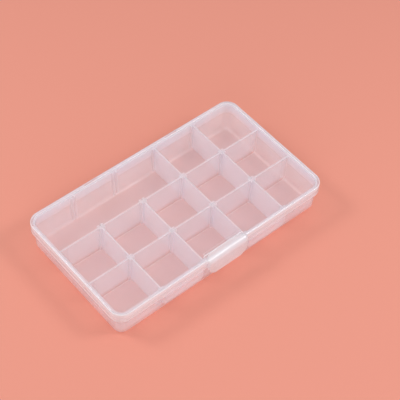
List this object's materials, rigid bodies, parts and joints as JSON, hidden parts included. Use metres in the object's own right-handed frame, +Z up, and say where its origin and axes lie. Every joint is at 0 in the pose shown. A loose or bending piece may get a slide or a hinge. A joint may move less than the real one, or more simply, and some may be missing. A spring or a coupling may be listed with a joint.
{
  "type": "compartment box with removable dividers",
  "caption": "Flat translucent box with a hinged snap lid and removable dividers that split its tray into compartments for beads and small craft parts.",
  "frame": {"origin": "middle of the flat face that the tray rests on", "axes": "+X along the box, -Y towards the latch side, +Y towards the hinge side, +Z up"},
  "size_m": [0.175, 0.1051, 0.0267],
  "materials": {
    "natural_polypropylene": "undyed polypropylene, translucent, smooth with a soft gloss"
  },
  "bodies": {
    "tray": {"base_tray": "natural_polypropylene", "divider_front_1": "natural_polypropylene", "divider_front_2": "natural_polypropylene", "divider_front_3": "natural_polypropylene", "divider_front_4": "natural_polypropylene", "divider_middle_1": "natural_polypropylene", "divider_middle_2": "natural_polypropylene", "divider_middle_3": "natural_polypropylene", "divider_middle_4": "natural_polypropylene", "divider_back_3": "natural_polypropylene", "divider_back_4": "natural_polypropylene"},
    "lid": {"lid": "natural_polypropylene"},
    "latch": {"latch": "natural_polypropylene"}
  },
  "joints": [
    {"name": "lid_hinge", "type": "hinge", "parent": "tray", "child": "lid", "pos_m": [0, 0.051, 0.0156], "axis": [-1, 0, 0], "range_deg": [0, 180]},
    {"name": "latch_hinge", "type": "hinge", "parent": "lid", "child": "latch", "pos_m": [0, -0.0459, 0.0261], "axis": [-1, 0, 0], "range_deg": [0, 90]}
  ]
}
